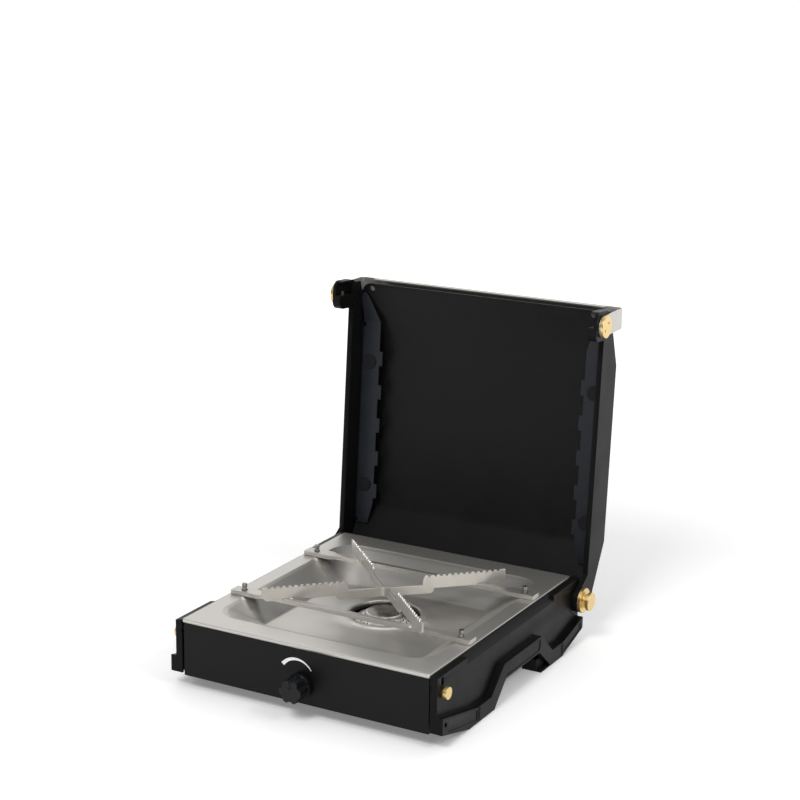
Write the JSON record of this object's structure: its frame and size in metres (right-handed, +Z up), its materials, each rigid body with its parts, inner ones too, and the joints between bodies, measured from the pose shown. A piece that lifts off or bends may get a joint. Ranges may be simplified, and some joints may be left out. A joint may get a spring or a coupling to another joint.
{
  "type": "camping stove",
  "caption": "Portable single-burner gas camping stove with a fold-up lid, swinging carry handle, stainless drip tray and toothed lift-off pot support.",
  "frame": {"origin": "centre of the open stove's bounding box, on the ground under the foot pads", "axes": "+X to the right seen from the knob side, +Y from the knob towards the lid hinge, +Z up"},
  "size_m": [0.299, 0.3654, 0.324],
  "materials": {
    "powder_black": "satin powder coat",
    "powder_blue_black": "satin powder coat",
    "moulded_black": "fine moulded grain",
    "knob_black": "fine moulded grain",
    "foot_rubber": "matt",
    "zinc_steel": "zinc plated",
    "tray_stainless": "fine brushed",
    "stud_steel": "turned",
    "support_stainless": "satin",
    "handle_stainless": "fine brushed",
    "burner_steel": "satin",
    "brass": "turned and polished",
    "pipe_copper": "drawn copper alloy",
    "mark_white": "printed",
    "rivet_black": "satin"
  },
  "bodies": {
    "housing": {"base_pan": "powder_black", "left_side_cover": "moulded_black", "right_side_cover": "moulded_black", "foot_pads": "foot_rubber", "cover_screws": "zinc_steel", "drip_tray": "tray_stainless", "tray_studs": "stud_steel", "burner_body": "burner_steel", "burner_port_ring": "burner_steel", "burner_cap": "burner_steel", "burner_bracket": "zinc_steel", "burner_screws": "zinc_steel", "mixing_tube": "burner_steel", "gas_jet": "brass", "valve_body": "brass", "valve_nut": "zinc_steel", "gas_pipe": "pipe_copper", "gas_inlet": "brass", "inlet_nut": "zinc_steel", "dial_mark": "mark_white", "left_lock_stud": "brass", "right_lock_stud": "brass", "left_hinge_pin": "brass", "right_hinge_pin": "brass"},
    "knob": {"control_knob": "knob_black", "valve_spindle": "zinc_steel"},
    "pot_support": {"front_bar": "support_stainless", "rear_bar": "support_stainless", "front_arms": "support_stainless", "rear_arms": "support_stainless"},
    "lid": {"lid_panel": "powder_black", "left_lid_flange": "powder_blue_black", "right_lid_flange": "powder_blue_black", "left_lid_frame": "moulded_black", "right_lid_frame": "moulded_black", "left_lid_bracket": "moulded_black", "right_lid_bracket": "moulded_black", "lid_bumpers": "foot_rubber", "flange_rivets": "rivet_black", "left_handle_pin": "brass", "right_handle_pin": "brass"},
    "handle": {"carry_handle": "handle_stainless"}
  },
  "joints": [
    {"name": "lid_hinge", "type": "hinge", "parent": "housing", "child": "lid", "pos_m": [0, 0.11933, 0.0445], "axis": [-1, 0, 0], "range_deg": [-94, 0]},
    {"name": "handle_swing", "type": "hinge", "parent": "lid", "child": "handle", "pos_m": [0, 0.13617, 0.30957], "axis": [-1, 0, 0], "range_deg": [-88, 20]},
    {"name": "knob_turn", "type": "hinge", "parent": "housing", "child": "knob", "pos_m": [0, -0.17217, 0.03], "axis": [0, 1, 0], "range_deg": [-15, 255]},
    {"name": "support_lift", "type": "slide", "parent": "housing", "child": "pot_support", "axis": [0, 0, 1], "range_m": [0, 0.04]}
  ]
}
